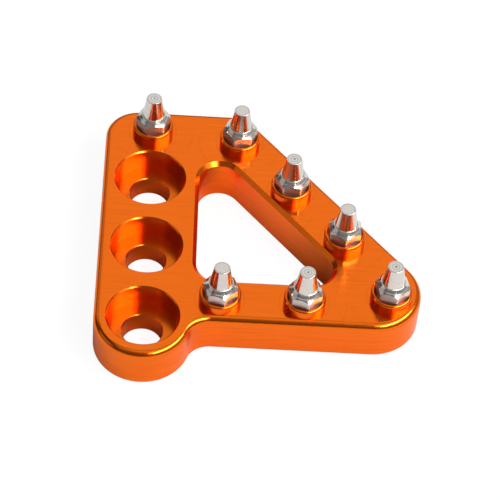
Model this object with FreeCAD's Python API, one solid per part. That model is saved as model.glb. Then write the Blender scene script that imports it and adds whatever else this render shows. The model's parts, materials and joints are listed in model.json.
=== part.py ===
"""Brake pedal tip: a milled foot plate with seven screwed-in grip studs.

Millimetres. The origin is on the middle mounting hole's axis, in the plane of the underside.
Z points up out of the gripping side, Y runs along the row of mounting holes,
and X points from that row towards the nose of the plate.
"""
import FreeCAD, Part
import math
import os

from FreeCAD import Vector

UP = Vector(0, 0, 1)

# Plate
THICKNESS = 9.6
LOBE_RADIUS = 9.85         # round end below the lowest hole, and half the width beside the holes
LOBE_DROP = 0.25           # from the lowest hole's axis down to the lobe's centre and to the front edge
FAR_REACH = 19.15          # from the highest hole's axis to the far edge
LONG_EDGE_REACH = 39.3     # from the middle hole's axis square to the long slanting edge
LONG_EDGE_SLOPE = 49.8     # degrees that the long edge falls towards the nose
NOSE_RADIUS = 9.7
FAR_LEFT_RADIUS = 6.9
FAR_RIGHT_RADIUS = 6.0
LOBE_FILLET = 5.0          # hollow corner between the lobe and the front edge
UPPER_EDGE_ROUND = 1.4
LOWER_EDGE_ROUND = 1.2

# Window
SIDE_BAR_WIDTH = 20.1
FRONT_BAR_WIDTH = 10.5
LONG_BAR_WIDTH = 11.4
WINDOW_CORNER_RADIUS = 4.5
WINDOW_CHAMFER = 0.8
WINDOW_LOWER_CHAMFER = 0.3

# Mounting holes for M8 cap screws
HOLE_COUNT = 3
HOLE_PITCH = 18.5
HOLE_DIAMETER = 8.2
HOLE_CHAMFER = 0.15
COUNTERBORE_DIAMETER = 14.5
COUNTERBORE_DEPTH = 5.0
COUNTERBORE_CHAMFER = 0.25

# Bosses under the studs
BOSS_DIAMETER = 8.5
BOSS_HEIGHT = 2.2
BOSS_ROUND = 0.5
TAPPED_DEPTH = 9.0         # from the boss's top
DRILL_POINT_ANGLE = 118.0
THREAD_DIAMETER = 4.0
THREAD_CLEARANCE = 0.05    # left round the plain shank, where the thread would be

# Where the studs stand
EDGE_TO_STUD = 6.0         # from the long edge to a stud's axis
END_TO_STUD = 5.8          # from the far edge and from the nose
STUD_PITCH = 17.0          # along the long bar and the front bar
LONG_ROW_FALL = 7.95       # from the far edge down to the first stud of the long row
FRONT_ROW_START = 15.25    # from the row of holes to the first stud of the front row
NOSE_STUD_ANGLE = -29.0    # degrees from X, seen from the nose's centre

# Stud
HEX_ACROSS_FLATS = 6.35
HEX_HEIGHT = 3.1
HEX_EDGE_ROUND = 0.35      # the hex's upright edges
HEX_BEVEL_ANGLE = 45.0     # degrees that the bevel on the hex's corners falls from level
COLLAR_DIAMETER = 5.9      # turned collar on the hex
COLLAR_DROP = 0.5          # from the spike's foot down the collar's slope
COLLAR_RIM = 0.2           # upright rim below that slope
SHOULDER = 0.2             # level ring between the slope and the spike's foot
SPIKE_FOOT_DIAMETER = 4.65
SPIKE_TIP_DIAMETER = 3.2
SPIKE_HEIGHT = 4.5
SPIKE_FOOT_FILLET = 0.15
SPIKE_TIP_ROUND = 0.1
CENTRE_MARK_DIAMETER = 0.5
CENTRE_MARK_DEPTH = 0.4
SHANK_LENGTH = 7.5
SHANK_CHAMFER = 0.5

# How far each stud's hex is turned once it is tight, and whether its tip keeps the lathe's centre mark
STUD_TURNS = (9.0, 9.0, 0.0, 31.0, 45.0, 42.0, 44.0)
STUD_MARKED = (True, False, True, False, False, True, True)

OVERRUN = 1.0              # what a cutting tool runs past the face that it cuts


def polar(radius, degrees):
    angle = math.radians(degrees)
    return Vector(radius * math.cos(angle), radius * math.sin(angle), 0)


def hole_centres():
    """Axes of the mounting holes, from the lobe's hole to the far one, with the middle one at the origin."""
    first = -(HOLE_COUNT - 1) / 2 * HOLE_PITCH
    return [Vector(0, first + i * HOLE_PITCH, 0) for i in range(HOLE_COUNT)]


def lobe_centre():
    return hole_centres()[0] - Vector(0, LOBE_DROP, 0)


def front_y():
    return lobe_centre().y


def far_y():
    return hole_centres()[-1].y + FAR_REACH


def long_edge_point(reach, y):
    """Point at height y on the line that lies square to the long edge at a distance of reach."""
    across = math.radians(90 - LONG_EDGE_SLOPE)
    return Vector((reach - y * math.sin(across)) / math.cos(across), y, 0)


def arc(start, middle, end):
    return Part.Arc(start, middle, end).toShape()


def line(start, end):
    return Part.LineSegment(start, end).toShape()


def corner_arc(before, corner, after, radius):
    """Start, middle and end of the arc that rounds a corner, and its centre."""
    back = (before - corner).normalize()
    ahead = (after - corner).normalize()
    half = back.getAngle(ahead) / 2
    run = radius / math.tan(half)
    inward = (back + ahead).normalize()
    centre = corner + inward * (radius / math.sin(half))
    return corner + back * run, centre - inward * radius, corner + ahead * run, centre


def outline_corners():
    """The plate's sharp corners: far left, far right, nose, and where the front edge passes the lobe."""
    far_left = Vector(-LOBE_RADIUS, far_y(), 0)
    far_right = long_edge_point(LONG_EDGE_REACH, far_y())
    nose = long_edge_point(LONG_EDGE_REACH, front_y())
    front_left = Vector(-LOBE_RADIUS, front_y(), 0)
    return far_left, far_right, nose, front_left


def nose_arc():
    far_left, far_right, nose, front_left = outline_corners()
    return corner_arc(far_right, nose, front_left, NOSE_RADIUS)


def outline_face():
    """The plate's outline: straight edges, rounded corners, the lobe and the hollow corner beside it."""
    far_left, far_right, nose, front_left = outline_corners()
    lobe = lobe_centre()
    a_start, a_middle, a_end, _ = corner_arc(front_left, far_left, far_right, FAR_LEFT_RADIUS)
    b_start, b_middle, b_end, _ = corner_arc(far_left, far_right, nose, FAR_RIGHT_RADIUS)
    n_start, n_middle, n_end, _ = nose_arc()

    fillet_x = math.sqrt((LOBE_RADIUS + LOBE_FILLET) ** 2 - LOBE_FILLET ** 2)
    fillet_centre = Vector(fillet_x, front_y() - LOBE_FILLET, 0)
    to_fillet = (fillet_centre - lobe).normalize()
    f_start = Vector(fillet_x, front_y(), 0)
    f_end = lobe + to_fillet * LOBE_RADIUS
    f_out = ((f_start - fillet_centre) + (f_end - fillet_centre)).normalize()
    f_middle = fillet_centre + f_out * LOBE_FILLET

    lobe_left = lobe - Vector(LOBE_RADIUS, 0, 0)
    lobe_bottom = lobe - Vector(0, LOBE_RADIUS, 0)
    edges = [
        line(lobe_left, a_start),
        arc(a_start, a_middle, a_end),
        line(a_end, b_start),
        arc(b_start, b_middle, b_end),
        line(b_end, n_start),
        arc(n_start, n_middle, n_end),
        line(n_end, f_start),
        arc(f_start, f_middle, f_end),
        arc(f_end, lobe_bottom, lobe_left),
    ]
    return Part.Face(Part.Wire(edges))


def window_face():
    """The triangular window with rounded corners, left between the three bars."""
    reach = LONG_EDGE_REACH - LONG_BAR_WIDTH
    left = SIDE_BAR_WIDTH - LOBE_RADIUS
    front = front_y() + FRONT_BAR_WIDTH
    slope = math.tan(math.radians(LONG_EDGE_SLOPE))
    right = long_edge_point(reach, front)
    top = Vector(left, front + (right.x - left) * slope, 0)
    corners = [Vector(left, front, 0), top, right]
    arcs = []
    for i, corner in enumerate(corners):
        before = corners[i - 1]
        after = corners[(i + 1) % len(corners)]
        arcs.append(corner_arc(before, corner, after, WINDOW_CORNER_RADIUS))
    edges = []
    for i, (start, middle, end, _) in enumerate(arcs):
        edges.append(arc(start, middle, end))
        edges.append(line(end, arcs[(i + 1) % len(arcs)][0]))
    return Part.Face(Part.Wire(edges))


def edges_at(shape, height, within=None):
    """The edges that lie level at one height, and inside a box seen from above where one is given."""
    found = []
    for edge in shape.Edges:
        box = edge.BoundBox
        level = abs(box.ZMin - height) < 1e-6 and abs(box.ZMax - height) < 1e-6
        middle = edge.CenterOfMass
        if level and (within is None or within.isInside(Vector(middle.x, middle.y, 0))):
            found.append(edge)
    return found


def plate_blank():
    """The milled block: outline with rounded edges, and the window with its chamfers."""
    block = outline_face().extrude(UP * THICKNESS)
    block = block.makeFillet(UPPER_EDGE_ROUND, edges_at(block, THICKNESS))
    block = block.makeFillet(LOWER_EDGE_ROUND, edges_at(block, 0))
    window = window_face()
    area = window.BoundBox
    area.enlarge(OVERRUN)
    block = block.cut(window.extrude(UP * THICKNESS))
    block = block.makeChamfer(WINDOW_CHAMFER, edges_at(block, THICKNESS, area))
    return block.makeChamfer(WINDOW_LOWER_CHAMFER, edges_at(block, 0, area))


def turned(points):
    """A solid turned round Z from a closed profile of (radius, height) points."""
    corners = [Vector(radius, 0, height) for radius, height in points]
    profile = Part.Face(Part.makePolygon(corners + corners[:1]))
    return profile.revolve(Vector(0, 0, 0), UP, 360)


def counterbore_tool():
    """What one mounting hole takes out: the bore, its counterbore and their chamfered upper rims."""
    hole = HOLE_DIAMETER / 2
    bore = COUNTERBORE_DIAMETER / 2
    floor = THICKNESS - COUNTERBORE_DEPTH
    above = THICKNESS + OVERRUN
    return turned([
        (0, -OVERRUN),
        (hole, -OVERRUN),
        (hole, floor - HOLE_CHAMFER),
        (hole + HOLE_CHAMFER, floor),
        (bore, floor),
        (bore, THICKNESS - COUNTERBORE_CHAMFER),
        (bore + COUNTERBORE_CHAMFER + OVERRUN, above),
        (0, above),
    ])


def boss():
    cylinder = Part.makeCylinder(BOSS_DIAMETER / 2, THICKNESS + BOSS_HEIGHT)
    rounded = cylinder.makeFillet(BOSS_ROUND, edges_at(cylinder, THICKNESS + BOSS_HEIGHT))
    below = Part.makeCylinder(BOSS_DIAMETER / 2 + OVERRUN, THICKNESS / 2)
    return rounded.cut(below)


def tapped_hole_tool():
    """A blind tapping hole with the cone that the drill leaves at its end."""
    radius = THREAD_DIAMETER / 2 + THREAD_CLEARANCE
    top = THICKNESS + BOSS_HEIGHT
    end = top - TAPPED_DEPTH
    point = radius / math.tan(math.radians(DRILL_POINT_ANGLE / 2))
    return turned([(0, end - point), (radius, end), (radius, top + OVERRUN), (0, top + OVERRUN)])


def stud_places():
    """Axes of the seven studs: the far corner, the long row, the front row and the nose."""
    row_reach = LONG_EDGE_REACH - EDGE_TO_STUD
    row_start = long_edge_point(row_reach, far_y() - LONG_ROW_FALL)
    along = polar(STUD_PITCH, -LONG_EDGE_SLOPE)
    front_middle = front_y() + FRONT_BAR_WIDTH / 2
    nose_centre = nose_arc()[3]
    places = [Vector(0, far_y() - END_TO_STUD, 0)]
    places += [row_start + along * i for i in range(3)]
    places += [Vector(FRONT_ROW_START + STUD_PITCH * i, front_middle, 0) for i in range(2)]
    places.append(nose_centre + polar(NOSE_RADIUS - END_TO_STUD, NOSE_STUD_ANGLE))
    return places


def pedal_plate():
    plate = plate_blank()
    plate = plate.cut([counterbore_tool().translated(centre) for centre in hole_centres()])
    plate = plate.fuse([boss().translated(place) for place in stud_places()])
    plate = plate.cut([tapped_hole_tool().translated(place) for place in stud_places()])
    return plate.removeSplitter()


def hex_prism():
    corner = HEX_ACROSS_FLATS / 2 / math.cos(math.radians(30))
    corners = [polar(corner, 60 * i) for i in range(7)]
    prism = Part.Face(Part.makePolygon(corners)).extrude(UP * HEX_HEIGHT)
    upright = [e for e in prism.Edges if e.BoundBox.ZLength > HEX_HEIGHT / 2]
    return prism.makeFillet(HEX_EDGE_ROUND, upright)


def hex_head():
    """The spanner hex, its corners turned off by a bevel, with the turned collar on it."""
    shoulder = SPIKE_FOOT_DIAMETER / 2 + SHOULDER
    collar = COLLAR_DIAMETER / 2
    widest = HEX_ACROSS_FLATS * 0.6
    crease = HEX_HEIGHT - COLLAR_DROP
    bevel = crease - COLLAR_RIM
    low = bevel - (widest - collar) * math.tan(math.radians(HEX_BEVEL_ANGLE))
    cone = turned([
        (0, 0),
        (widest, 0),
        (widest, low),
        (collar, bevel),
        (collar, crease),
        (shoulder, HEX_HEIGHT),
        (0, HEX_HEIGHT),
    ])
    return hex_prism().common(cone)


def spike(marked):
    """The blunt cone on the hex, with a rounded rim and, on some, a centre mark in its tip."""
    foot = SPIKE_FOOT_DIAMETER / 2
    tip = SPIKE_TIP_DIAMETER / 2
    cone = Part.makeCone(foot, tip, SPIKE_HEIGHT)
    cone = cone.makeFillet(SPIKE_TIP_ROUND, edges_at(cone, SPIKE_HEIGHT))
    if marked:
        mark = Part.makeCone(0, CENTRE_MARK_DIAMETER / 2, CENTRE_MARK_DEPTH)
        cone = cone.cut(mark.translated(UP * (SPIKE_HEIGHT - CENTRE_MARK_DEPTH)))
    return cone.translated(UP * HEX_HEIGHT)


def shank():
    cylinder = Part.makeCylinder(THREAD_DIAMETER / 2, SHANK_LENGTH, UP * -SHANK_LENGTH)
    return cylinder.makeChamfer(SHANK_CHAMFER, edges_at(cylinder, -SHANK_LENGTH))


def foot_edges(shape):
    """The circle where the spike stands on the hex."""
    radius = SPIKE_FOOT_DIAMETER / 2
    level = edges_at(shape, HEX_HEIGHT)
    return [e for e in level if abs(e.BoundBox.XLength - 2 * radius) < 1e-3]


def stud(marked, turn):
    """One grip stud, its hex face at height 0, turned by an angle about its axis."""
    shape = hex_head().fuse([spike(marked), shank()]).removeSplitter()
    shape = shape.makeFillet(SPIKE_FOOT_FILLET, foot_edges(shape))
    return shape.rotated(Vector(0, 0, 0), UP, turn)


def build():
    seat = UP * (THICKNESS + BOSS_HEIGHT)
    parts = {"pedal_plate": pedal_plate()}
    for i, place in enumerate(stud_places()):
        parts["stud_%d" % (i + 1)] = stud(STUD_MARKED[i], STUD_TURNS[i]).translated(place + seat)
    return parts


def main():
    os.makedirs("parts", exist_ok=True)
    for name, shape in build().items():
        shape.exportStep("parts/%s.step" % name)
        print(name, "valid", shape.isValid(), "solids", len(shape.Solids), "volume %.1f" % shape.Volume)


main()
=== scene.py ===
"""A brake pedal tip on a white table: orange anodised foot plate, seven stainless grip studs.

X points from the row of mounting holes to the nose, Y along the row, Z up out of the gripping
side. Blender works in metres. The values named here are mm and degrees, unless a comment says
otherwise.
"""
import bmesh
import bpy
import json
import math
from mathutils import Matrix, Vector


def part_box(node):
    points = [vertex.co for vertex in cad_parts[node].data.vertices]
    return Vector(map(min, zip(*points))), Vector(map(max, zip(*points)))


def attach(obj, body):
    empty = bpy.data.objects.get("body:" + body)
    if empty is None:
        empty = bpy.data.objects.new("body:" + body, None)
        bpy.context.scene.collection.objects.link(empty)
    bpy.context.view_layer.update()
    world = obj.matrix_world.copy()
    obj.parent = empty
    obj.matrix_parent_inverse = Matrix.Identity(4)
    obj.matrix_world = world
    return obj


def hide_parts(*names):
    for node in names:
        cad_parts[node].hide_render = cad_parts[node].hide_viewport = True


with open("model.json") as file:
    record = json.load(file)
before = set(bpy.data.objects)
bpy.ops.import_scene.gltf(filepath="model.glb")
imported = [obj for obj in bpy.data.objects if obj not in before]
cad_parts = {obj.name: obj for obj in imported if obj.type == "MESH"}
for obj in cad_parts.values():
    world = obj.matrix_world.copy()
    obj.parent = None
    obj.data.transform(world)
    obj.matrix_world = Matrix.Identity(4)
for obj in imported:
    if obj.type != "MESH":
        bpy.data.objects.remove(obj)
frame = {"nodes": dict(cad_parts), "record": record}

bpy.context.view_layer.update()

MM = 0.001

# Foot plate
PLATE_TOP = 9.6
BOSS_TOP = 11.8
HOLE_PITCH = 18.5
COUNTERBORE_FLOOR = 4.6

# Seats: each stud's hex stands in a round pocket in the top of its boss
SEAT_RADIUS = 3.75         # the boss's rounded rim starts here
SEAT_DEPTH = 1.3
MOUTH_LIMIT = 3.0          # edges nearer to the axis are the tapped hole's mouth, not the rim
SAME_PLACE = 0.001         # points nearer than this count as one
RIM_SLACK = 0.02           # the rim's points lie this near its true circle
CAD_NORMAL = "cad_normal"  # what a corner's own normal is kept under while its mesh is worked on

# Tool marks: size of one mark along X, Y and Z, where 0 is endless. Real ones are 0.05 to 0.2 mm
# apart, too fine to show, so the mill's are drawn 0.45 mm apart and the lathe's 0.3 mm
FACE_GRAIN = (9.0, 0.45, 0)
WALL_GRAIN = (5.0, 5.0, 0.45)
TIP_RINGS = (0.3, 0, 0)    # along the distance from the stud's axis
SPIKE_RINGS = (2.5, 2.5, 0.3)
FINE_DETAIL = 2.0          # how many times finer marks lie within a mark
FINE_SHARE = 0.6           # how strong they are beside it
MILL_DEPTH = 0.003
LATHE_DEPTH = 0.004

# Single lines that a tool left
OUTER_CIRCLE = (8.6, 0.22)         # the end mill's path round a boss: radius and width
INNER_CIRCLE = (5.0, 0.25)
CIRCLE_STRETCH = (7.0, 7.0, 7.0)   # the outer circle shows in stretches of about this length
STRETCH_SHOWS = (0.42, 0.60)       # level of the pattern where a stretch starts and is full
CIRCLE_STRENGTH = 0.165
PASS_LINES = (14.0, 14.0, 0.6)     # where one pass down a wall met the next
PASS_SHOWS = (0.60, 0.68)
PASS_STRENGTH = 0.15
CENTRE_RING = (0.72, 0.16)         # on a tip that keeps the lathe's centre mark
TIP_RING = (1.34, 0.16)            # on every tip
RING_STRENGTH = 0.4
CENTRE_MARKED = (1, 3, 6, 7)       # studs that keep the mark

# Roughness, 0 to 1, and where it changes
MILLED_WALL = 0.26
MILLED_FACE = 0.16
COUNTERBORED = 0.22
FLOOR_SHOWS = (COUNTERBORE_FLOOR + 0.3, COUNTERBORE_FLOOR + 0.1)   # heights: starts, is full
HEX_FLAT = 0.31
TURNED = 0.12
HEX_OR_TURNED = (0.05, 0.12)       # levelness of a hex's flats, and of all that is turned

# Camera, set up as the photograph was taken
FOCAL_LENGTH = 174.0       # on a 36 mm sensor
SENSOR_WIDTH = 36.0
CAMERA_PITCH = 49.47       # looks down
CAMERA_YAW = 3.35          # looks to the right of the row of holes
CAMERA_ROLL = 5.48
CAMERA_RIGHT = 21.09       # from the middle hole's axis at the plate's top, in its own directions
CAMERA_UP = -1.18
CAMERA_BACK = 493.27
VIEW_DEPTH = (0.01, 20)    # metres

# Table
FLOOR_DROP = 0.02          # below the underside, so that the two never share a plane
FLOOR_SIZE = 4000.0
WINDOW_LIGHT = (16, 16)    # beside the window's far corner, where most light falls in
WINDOW_SHADE = (8.0, 23.0)         # distances from there where the plate's shade starts and is full
WINDOW_SHADE_ENDS = (30.0, 28.0)   # and where it is gone, under the plate, and full again
HOLE_SHADE = (6.5, 4.5)    # the same from the nearest mounting hole's axis
SEEN_GLOW = 0.92           # what brings the table to white where the camera sees it
MIRRORED_GLOW = 0.02

# Room, as the metal sees it
BRIGHT_SIDE = (0.565, 0.300, 0.769)    # direction of its pale ceiling and wall
BRIGHT_SHOWS = (0.42, 0.74)            # cosine from there where they start and are full
ROOM_LEVELS = (0.08, 0.42)             # brightness of the dim and of the bright side

# Soft boxes: azimuth from X and elevation; distance, width and height in metres; brightness
LIT_POINT = (20, 5, 5)
SOFT_BOXES = {
    "key_softbox": (-24, 49, 0.8, 0.92, 0.21, 12.5),
    "key_wing": (-61, 49, 0.8, 0.26, 0.21, 2.5),
    "key_skirt": (-24, 35, 0.8, 0.6, 0.14, 1.0),
    "window_card": (-105, 48, 1.0, 1.2, 0.8, 0.14),
    "far_softbox": (87, 47, 1.0, 1.0, 1.1, 0.5),
    "left_card": (130, 27, 0.8, 0.42, 0.5, 0.5),
    "chamfer_card": (189, 26, 0.8, 0.5, 0.35, 0.4),
    "ceiling_card": (-87, 79, 1.0, 1.2, 0.45, 0.45),
}

# A Mix node's sockets share their names, so they go by number: its share of the second value,
# its first and second value of each kind, and its result of that kind
SHARE = 0
NUMBER_1, NUMBER_2 = 2, 3
VECTOR_1, VECTOR_2 = 4, 5
COLOUR_1, COLOUR_2 = 6, 7
NUMBER, VECTOR, COLOUR = 0, 1, 2


def merged_copy(node):
    """The node's mesh with its loose triangles joined. Each corner keeps its own normal."""
    mesh = node.data.copy()
    normals = mesh.attributes.new(CAD_NORMAL, "FLOAT_VECTOR", "CORNER")
    normals.data.foreach_set(
        "vector", [value for corner in mesh.corner_normals for value in corner.vector])
    shape = bmesh.new()
    shape.from_mesh(mesh)
    bmesh.ops.remove_doubles(shape, verts=shape.verts, dist=SAME_PLACE * MM)
    return shape


def nearest(place, axes):
    """Number of the stud axis that a place lies nearest to, and its distance from it."""
    gaps = [(place.xy - axis).length for axis in axes]
    return gaps.index(min(gaps)), min(gaps)


def at_height(point, height):
    """Whether a point of a mesh lies at a height."""
    return abs(point.co.z - height * MM) < SAME_PLACE * MM


def put_in_order(items, place_of):
    """Lists a mesh's points or faces by their place."""
    ranked = sorted(items, key=lambda item: place_of(item).to_tuple())
    ranks = {item: rank for rank, item in enumerate(ranked)}
    items.sort(key=ranks.get)


def sink_seats(shape, axes):
    """Turns each boss's level top into a pocket, and draws the tapped hole's mouth down with it."""
    tops = [face for face in shape.faces if all(
        at_height(v, BOSS_TOP) and nearest(v.co, axes)[1] < (SEAT_RADIUS + RIM_SLACK) * MM
        for v in face.verts
    )]
    bmesh.ops.delete(shape, geom=tops, context="FACES_KEEP_BOUNDARY")
    normal_layer = shape.loops.layers.float_vector[CAD_NORMAL]
    open_edges = [edge for edge in shape.edges if edge.is_boundary]
    drop = Vector((0, 0, -SEAT_DEPTH * MM))
    for number, axis in enumerate(axes):
        here = [edge for edge in open_edges if nearest(edge.verts[0].co, axes)[0] == number]
        mouth = [edge for edge in here
                 if (edge.verts[0].co.xy - axis).length < MOUTH_LIMIT * MM]
        rim = [edge for edge in here if edge not in mouth]
        mouth_points = list({v for edge in mouth for v in edge.verts})
        bmesh.ops.translate(shape, verts=mouth_points, vec=drop)
        wall = bmesh.ops.extrude_edge_only(shape, edges=rim)["geom"]
        foot_points = [v for v in wall if isinstance(v, bmesh.types.BMVert)]
        bmesh.ops.translate(shape, verts=foot_points, vec=drop)
        foot = [edge for edge in wall if isinstance(edge, bmesh.types.BMEdge)
                and all(at_height(v, BOSS_TOP - SEAT_DEPTH) for v in edge.verts)]
        floor = bmesh.ops.bridge_loops(shape, edges=mouth + foot)["faces"]
        wall_faces = [face for face in wall if isinstance(face, bmesh.types.BMFace)]
        # A zero normal lets Blender work out a new face's own
        for face in floor + wall_faces:
            for corner in face.loops:
                corner[normal_layer] = (0, 0, 0)
        for edge in rim + foot + mouth:
            edge.smooth = False
    # Extruding lists what it makes in another order each run
    put_in_order(shape.verts, lambda v: v.co)
    put_in_order(shape.faces, lambda face: face.calc_center_median())


def reach_seat(shape):
    """Draws a stud's hex and shoulder down from the boss's top to the floor of its seat."""
    low = [v for v in shape.verts if at_height(v, BOSS_TOP)]
    bmesh.ops.translate(shape, verts=low, vec=Vector((0, 0, -SEAT_DEPTH * MM)))


def piece_for(node, shape, name):
    """The finished mesh as a piece that stands for the node."""
    bmesh.ops.recalc_face_normals(shape, faces=shape.faces)
    for face in shape.faces:
        face.smooth = True
    mesh = bpy.data.meshes.new(name)
    shape.to_mesh(mesh)
    shape.free()
    normals = [corner.vector.copy() for corner in mesh.attributes[CAD_NORMAL].data]
    mesh.attributes.remove(mesh.attributes[CAD_NORMAL])
    mesh.normals_split_custom_set(normals)
    piece = bpy.data.objects.new(name, mesh)
    bpy.context.scene.collection.objects.link(piece)
    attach(piece, "root")
    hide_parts(node.name)
    return piece


def stud_axes(studs):
    """Where each stud's axis crosses the face, in metres."""
    return [(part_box(name)[0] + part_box(name)[1]).xy / 2 for name in studs]


def seated_pieces(studs, axes):
    """The foot plate with its seats, and the studs that stand in them."""
    nodes = frame["nodes"]
    plate = merged_copy(nodes["pedal_plate"])
    sink_seats(plate, axes)
    pieces = {"pedal_plate": piece_for(nodes["pedal_plate"], plate, "foot_plate")}
    for name in studs:
        shape = merged_copy(nodes[name])
        reach_seat(shape)
        pieces[name] = piece_for(nodes[name], shape, "grip_" + name)
    return pieces


def linear(colour):
    """An sRGB hex colour as the linear values that the shaders take."""
    channels = [int(colour[i:i + 2], 16) / 255 for i in (1, 3, 5)]
    return [c / 12.92 if c <= 0.04045 else ((c + 0.055) / 1.055) ** 2.4 for c in channels] + [1.0]


def add_node(tree, kind, inputs=None, **settings):
    """A node with its settings, whose inputs are values or other nodes' outputs."""
    node = tree.nodes.new(kind)
    for name, value in settings.items():
        setattr(node, name, value)
    for name, value in (inputs or {}).items():
        if isinstance(value, bpy.types.NodeSocket):
            tree.links.new(value, node.inputs[name])
        else:
            node.inputs[name].default_value = value
    return node


def new_material(name):
    """An empty node material and its tree."""
    material = bpy.data.materials.new(name)
    material.use_nodes = True
    material.node_tree.nodes.clear()
    return material, material.node_tree


def levelness(tree, coords):
    """1 on a level face, 0 on an upright wall."""
    normal = add_node(tree, "ShaderNodeSeparateXYZ", {"Vector": coords.outputs["Normal"]})
    return add_node(tree, "ShaderNodeMath", {
        0: normal.outputs["Z"],
    }, operation="ABSOLUTE").outputs["Value"]


def across_the_marks(tree, level):
    """Direction square to the tool marks: along Y on level faces, up the wall on upright ones."""
    return add_node(tree, "ShaderNodeMix", {
        SHARE: level,
        VECTOR_1: (0.0, 0.0, 1.0),
        VECTOR_2: (0.0, 1.0, 0.0),
    }, data_type="VECTOR").outputs[VECTOR]


def distance_from_axes(tree, place, axes):
    """Level distance from the nearest of some upright axes, in metres."""
    flat = add_node(tree, "ShaderNodeVectorMath", {
        0: place,
        1: (1, 1, 0),
    }, operation="MULTIPLY").outputs["Vector"]
    gaps = [add_node(tree, "ShaderNodeVectorMath", {
        0: flat,
        1: (x, y, 0),
    }, operation="DISTANCE").outputs["Value"] for x, y in axes]
    least = gaps[0]
    for gap in gaps[1:]:
        least = add_node(tree, "ShaderNodeMath", {
            0: least,
            1: gap,
        }, operation="MINIMUM").outputs["Value"]
    return least


def marks(tree, place, lengths, detail=FINE_DETAIL):
    """Irregular tool marks, 0 to 1, whose lengths are a mark's size along X, Y and Z."""
    stretched = add_node(tree, "ShaderNodeMapping", {
        "Vector": place,
        "Scale": [1 / (size * MM) if size else 0 for size in lengths],
    })
    return add_node(tree, "ShaderNodeTexNoise", {
        "Vector": stretched.outputs["Vector"],
        "Scale": 1.0,
        "Detail": detail,
        "Roughness": FINE_SHARE,
    }).outputs["Fac"]


def ring_line(tree, distance, radius, width):
    """1 on a thin circle round each axis, fading to 0 at its width."""
    away = add_node(tree, "ShaderNodeMath", {0: distance, 1: radius * MM}, operation="SUBTRACT")
    away = add_node(tree, "ShaderNodeMath", {0: away.outputs["Value"]}, operation="ABSOLUTE")
    return add_node(tree, "ShaderNodeMapRange", {
        "Value": away.outputs["Value"],
        "From Min": 0.0,
        "From Max": width * MM,
        "To Min": 1.0,
        "To Max": 0.0,
    }, interpolation_type="SMOOTHSTEP").outputs["Result"]


def cutter_lines(tree, place, level, axes):
    """How strong the end mill's circles are on the faces, and the lines of its passes on walls."""
    distance = distance_from_axes(tree, place, axes)
    stretches = add_node(tree, "ShaderNodeMapRange", {
        "Value": marks(tree, place, CIRCLE_STRETCH, detail=0.0),
        "From Min": STRETCH_SHOWS[0],
        "From Max": STRETCH_SHOWS[1],
    }).outputs["Result"]
    outer = add_node(tree, "ShaderNodeMath", {
        0: ring_line(tree, distance, *OUTER_CIRCLE),
        1: stretches,
    }, operation="MULTIPLY").outputs["Value"]
    circles = add_node(tree, "ShaderNodeMath", {
        0: outer,
        1: ring_line(tree, distance, *INNER_CIRCLE),
    }, operation="MAXIMUM").outputs["Value"]
    for share in (level, CIRCLE_STRENGTH):
        circles = add_node(tree, "ShaderNodeMath", {
            0: circles,
            1: share,
        }, operation="MULTIPLY").outputs["Value"]
    passes = add_node(tree, "ShaderNodeMapRange", {
        "Value": marks(tree, place, PASS_LINES, detail=0.0),
        "From Min": PASS_SHOWS[0],
        "From Max": PASS_SHOWS[1],
        "To Max": PASS_STRENGTH,
    }).outputs["Result"]
    upright = add_node(tree, "ShaderNodeMath", {
        0: 1.0,
        1: level,
    }, operation="SUBTRACT").outputs["Value"]
    passes = add_node(tree, "ShaderNodeMath", {
        0: passes,
        1: upright,
    }, operation="MULTIPLY").outputs["Value"]
    return add_node(tree, "ShaderNodeMath", {
        0: circles,
        1: passes,
    }, operation="MAXIMUM").outputs["Value"]


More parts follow.
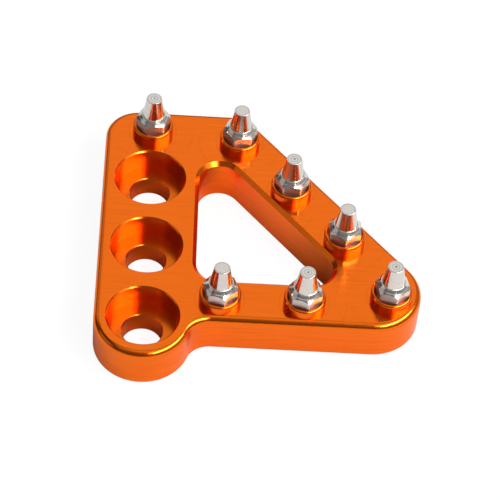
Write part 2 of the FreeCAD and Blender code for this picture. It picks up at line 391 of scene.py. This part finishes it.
def anodised_aluminium(axes):
    """Milled aluminium, anodised orange: a clear dyed skin over bright metal.

    It reflects in its own colour. The cutter's fine lines run along X on the level faces and
    round the bosses and bores, with its faint circles round each boss. They stretch the
    reflections square to themselves.
    """
    material, tree = new_material("orange_anodised_aluminium")
    coords = add_node(tree, "ShaderNodeTexCoord")
    place = coords.outputs["Object"]
    level = levelness(tree, coords)
    grain = add_node(tree, "ShaderNodeMix", {
        SHARE: level,
        NUMBER_1: marks(tree, place, WALL_GRAIN),
        NUMBER_2: marks(tree, place, FACE_GRAIN),
    }).outputs[NUMBER]
    colour = add_node(tree, "ShaderNodeMix", {
        SHARE: grain,
        COLOUR_1: linear("#EA6610"),
        COLOUR_2: linear("#FF7819"),
    }, data_type="RGBA").outputs[COLOUR]
    colour = add_node(tree, "ShaderNodeMix", {
        SHARE: cutter_lines(tree, place, level, axes),
        COLOUR_1: colour,
        COLOUR_2: linear("#C24A08"),
    }, data_type="RGBA").outputs[COLOUR]
    # The counterbores' floors, and the underside with them, are cut by the end of the tool:
    # rougher.
    # They are also painted a darker orange, as painted shade for the recesses they lie in
    height = add_node(tree, "ShaderNodeSeparateXYZ", {"Vector": place}).outputs["Z"]
    low_down = add_node(tree, "ShaderNodeMapRange", {
        "Value": height,
        "From Min": FLOOR_SHOWS[0] * MM,
        "From Max": FLOOR_SHOWS[1] * MM,
    }, interpolation_type="SMOOTHSTEP").outputs["Result"]
    floors = add_node(tree, "ShaderNodeMath", {
        0: low_down,
        1: level,
    }, operation="MULTIPLY").outputs["Value"]
    # Painted shade: a darker orange on the level floors low in the counterbores
    colour = add_node(tree, "ShaderNodeMix", {
        SHARE: floors,
        COLOUR_1: colour,
        COLOUR_2: linear("#E26B11"),
    }, data_type="RGBA").outputs[COLOUR]
    roughness = add_node(tree, "ShaderNodeMapRange", {
        "Value": level,
        "To Min": MILLED_WALL,
        "To Max": MILLED_FACE,
    }).outputs["Result"]
    roughness = add_node(tree, "ShaderNodeMix", {
        SHARE: floors,
        NUMBER_1: roughness,
        NUMBER_2: COUNTERBORED,
    }).outputs[NUMBER]
    bump = add_node(tree, "ShaderNodeBump", {
        "Height": grain,
        "Distance": MILL_DEPTH * MM,
        "Strength": 1.0,
    })
    shader = add_node(tree, "ShaderNodeBsdfPrincipled", {
        "Base Color": colour,
        "Metallic": 1.0,
        "Roughness": roughness,
        "Anisotropic": 0.7,
        "Specular Tint": linear("#FFEBDC"),
        "Coat Weight": 0.07,
        "Coat Roughness": 0.1,
        "Coat IOR": 1.6,
        "Tangent": across_the_marks(tree, level),
        "Normal": bump.outputs["Normal"],
    })
    add_node(tree, "ShaderNodeOutputMaterial", {"Surface": shader.outputs["BSDF"]})
    return material


def stainless_steel(axes):
    """Turned stainless steel, bright off the lathe: a grey mirror, slightly clouded.

    The lathe's fine rings run round the spike and across its flat tip, and stretch the
    reflections along the spike. The hexes' flats are drawn bar, and duller.
    """
    material, tree = new_material("turned_stainless_steel")
    coords = add_node(tree, "ShaderNodeTexCoord")
    place = coords.outputs["Object"]
    level = levelness(tree, coords)
    distance = distance_from_axes(tree, place, axes)
    outward = add_node(tree, "ShaderNodeCombineXYZ", {"X": distance}).outputs["Vector"]
    rings = add_node(tree, "ShaderNodeMix", {
        SHARE: level,
        NUMBER_1: marks(tree, place, SPIKE_RINGS),
        NUMBER_2: marks(tree, outward, TIP_RINGS),
    }).outputs[NUMBER]
    centred = distance_from_axes(tree, place, [axes[number - 1] for number in CENTRE_MARKED])
    lines = add_node(tree, "ShaderNodeMath", {
        0: ring_line(tree, centred, *CENTRE_RING),
        1: ring_line(tree, distance, *TIP_RING),
    }, operation="MAXIMUM").outputs["Value"]
    for share in (level, RING_STRENGTH):
        lines = add_node(tree, "ShaderNodeMath", {
            0: lines,
            1: share,
        }, operation="MULTIPLY").outputs["Value"]
    colour = add_node(tree, "ShaderNodeMix", {
        SHARE: rings,
        COLOUR_1: linear("#C4BFB8"),
        COLOUR_2: linear("#E8E3DC"),
    }, data_type="RGBA").outputs[COLOUR]
    colour = add_node(tree, "ShaderNodeMix", {
        SHARE: lines,
        COLOUR_1: colour,
        COLOUR_2: linear("#8C8780"),
    }, data_type="RGBA").outputs[COLOUR]
    roughness = add_node(tree, "ShaderNodeMapRange", {
        "Value": level,
        "From Min": HEX_OR_TURNED[0],
        "From Max": HEX_OR_TURNED[1],
        "To Min": HEX_FLAT,
        "To Max": TURNED,
    }).outputs["Result"]
    bump = add_node(tree, "ShaderNodeBump", {
        "Height": rings,
        "Distance": LATHE_DEPTH * MM,
        "Strength": 1.0,
    })
    shader = add_node(tree, "ShaderNodeBsdfPrincipled", {
        "Base Color": colour,
        "Metallic": 1.0,
        "Roughness": roughness,
        "Anisotropic": 0.85,
        "Coat Weight": 0.7,
        "Coat Roughness": 0.5,
        "Tangent": across_the_marks(tree, level),
        "Normal": bump.outputs["Normal"],
    })
    add_node(tree, "ShaderNodeOutputMaterial", {"Surface": shader.outputs["BSDF"]})
    return material


def plate_shade(tree):
    """How deep the table lies in the plate's shade, 0 to 1: in its holes and along its window."""
    place = add_node(tree, "ShaderNodeTexCoord").outputs["Object"]
    holes = [Vector((0, row * HOLE_PITCH)) * MM for row in (-1, 0, 1)]
    from_window = distance_from_axes(tree, place, [Vector(WINDOW_LIGHT) * MM])
    from_hole = distance_from_axes(tree, place, holes)
    along_window, before_its_end, in_hole = [
        add_node(tree, "ShaderNodeMapRange", {
            "Value": distance,
            "From Min": starts * MM,
            "From Max": full * MM,
        }, interpolation_type="SMOOTHSTEP").outputs["Result"]
        for distance, (starts, full) in (
            (from_window, WINDOW_SHADE),
            (from_window, WINDOW_SHADE_ENDS),
            (from_hole, HOLE_SHADE),
        )
    ]
    in_window = add_node(tree, "ShaderNodeMath", {
        0: along_window,
        1: before_its_end,
    }, operation="MULTIPLY").outputs["Value"]
    return add_node(tree, "ShaderNodeMath", {
        0: in_window,
        1: in_hole,
    }, operation="MAXIMUM").outputs["Value"]


def white_table():
    """Matt white board: plain white to the camera, with the soft shadow that the plate leaves.

    The metal mirrors it as it is lit, and grey where it lies in the plate's shade.
    """
    material, tree = new_material("white_table")
    shaded = add_node(tree, "ShaderNodeMix", {
        SHARE: plate_shade(tree),
        COLOUR_1: linear("#DEDEDE"),
        COLOUR_2: linear("#A0A0A0"),
    }, data_type="RGBA").outputs[COLOUR]
    mirrored, seen = [
        add_node(tree, "ShaderNodeAddShader", {
            0: add_node(tree, "ShaderNodeBsdfDiffuse", {"Color": colour}).outputs["BSDF"],
            1: add_node(tree, "ShaderNodeEmission", {
                "Color": linear("#FFFFFF"),
                "Strength": glow,
            }).outputs["Emission"],
        }).outputs["Shader"]
        for colour, glow in ((shaded, MIRRORED_GLOW), (linear("#585858"), SEEN_GLOW))
    ]
    both = add_node(tree, "ShaderNodeMixShader", {
        "Fac": add_node(tree, "ShaderNodeLightPath").outputs["Is Camera Ray"],
        1: mirrored,
        2: seen,
    })
    add_node(tree, "ShaderNodeOutputMaterial", {"Surface": both.outputs["Shader"]})
    return material


def finish(pieces, axes):
    """Gives every piece its finish."""
    finishes = {
        "orange_anodised_aluminium": anodised_aluminium(axes),
        "polished_stainless_steel": stainless_steel(axes),
    }
    for part in frame["record"]["subparts"]:
        piece = pieces[part["node"]]
        piece.data.materials.append(finishes[part["material_slot"]])


def table():
    """The floor under the object."""
    bpy.ops.mesh.primitive_plane_add(size=FLOOR_SIZE * MM, location=(0, 0, -FLOOR_DROP * MM))
    floor = bpy.context.object
    floor.name = "table"
    floor.data.materials.append(white_table())


def soft_box(name, azimuth, elevation, distance, width, height, brightness):
    """A lamp that looks at the object, and mirrors in it at its brightness whatever its size."""
    lamp = bpy.data.lights.new(name, "AREA")
    lamp.shape = "RECTANGLE"
    lamp.size = width
    lamp.size_y = height
    lamp.energy = brightness * math.pi * width * height
    away = Vector((
        math.cos(math.radians(elevation)) * math.cos(math.radians(azimuth)),
        math.cos(math.radians(elevation)) * math.sin(math.radians(azimuth)),
        math.sin(math.radians(elevation)),
    ))
    box = bpy.data.objects.new(name, lamp)
    box.location = Vector(LIT_POINT) * MM + away * distance
    box.rotation_mode = "QUATERNION"
    box.rotation_quaternion = away.to_track_quat("Z", "Y")
    bpy.context.scene.collection.objects.link(box)


def room():
    """The room round the table: white to the camera.

    To the metal it is pale above and to the right, and dim elsewhere, because a white room would
    take the dark sides from the metal.
    """
    world = bpy.data.worlds.new("room")
    world.use_nodes = True
    tree = world.node_tree
    tree.nodes.clear()
    toward = add_node(tree, "ShaderNodeVectorMath", {
        0: add_node(tree, "ShaderNodeTexCoord").outputs["Generated"],
        1: BRIGHT_SIDE,
    }, operation="DOT_PRODUCT")
    level = add_node(tree, "ShaderNodeMapRange", {
        "Value": toward.outputs["Value"],
        "From Min": BRIGHT_SHOWS[0],
        "From Max": BRIGHT_SHOWS[1],
        "To Min": ROOM_LEVELS[0],
        "To Max": ROOM_LEVELS[1],
    }, interpolation_type="SMOOTHSTEP")
    mirrored, seen = [
        add_node(tree, "ShaderNodeBackground", {
            "Color": linear("#FFFFFF"),
            "Strength": strength,
        }).outputs["Background"]
        for strength in (level.outputs["Result"], 1.0)
    ]
    both = add_node(tree, "ShaderNodeMixShader", {
        "Fac": add_node(tree, "ShaderNodeLightPath").outputs["Is Camera Ray"],
        1: mirrored,
        2: seen,
    })
    add_node(tree, "ShaderNodeOutputWorld", {"Surface": both.outputs["Shader"]})
    bpy.context.scene.world = world


def camera():
    """The camera, turned and placed as the photograph's was."""
    data = bpy.data.cameras.new("camera")
    data.sensor_width = SENSOR_WIDTH
    data.lens = FOCAL_LENGTH
    data.clip_start, data.clip_end = VIEW_DEPTH
    turn = (
        Matrix.Rotation(math.radians(-CAMERA_YAW), 3, "Z")
        @ Matrix.Rotation(math.radians(90 - CAMERA_PITCH), 3, "X")
        @ Matrix.Rotation(math.radians(CAMERA_ROLL), 3, "Z")
    )
    place = turn @ Vector((CAMERA_RIGHT, CAMERA_UP, CAMERA_BACK)) + Vector((0, 0, PLATE_TOP))
    viewer = bpy.data.objects.new("camera", data)
    viewer.matrix_world = Matrix.Translation(place * MM) @ turn.to_4x4()
    bpy.context.scene.collection.objects.link(viewer)
    bpy.context.scene.camera = viewer


studs = sorted(name for name in frame["nodes"] if name.startswith("stud"))
axes = stud_axes(studs)
finish(seated_pieces(studs, axes), axes)
table()
room()
for name, setting in SOFT_BOXES.items():
    soft_box(name, *setting)
camera()
bpy.context.scene.view_settings.view_transform = "Standard"

bpy.context.view_layer.update()
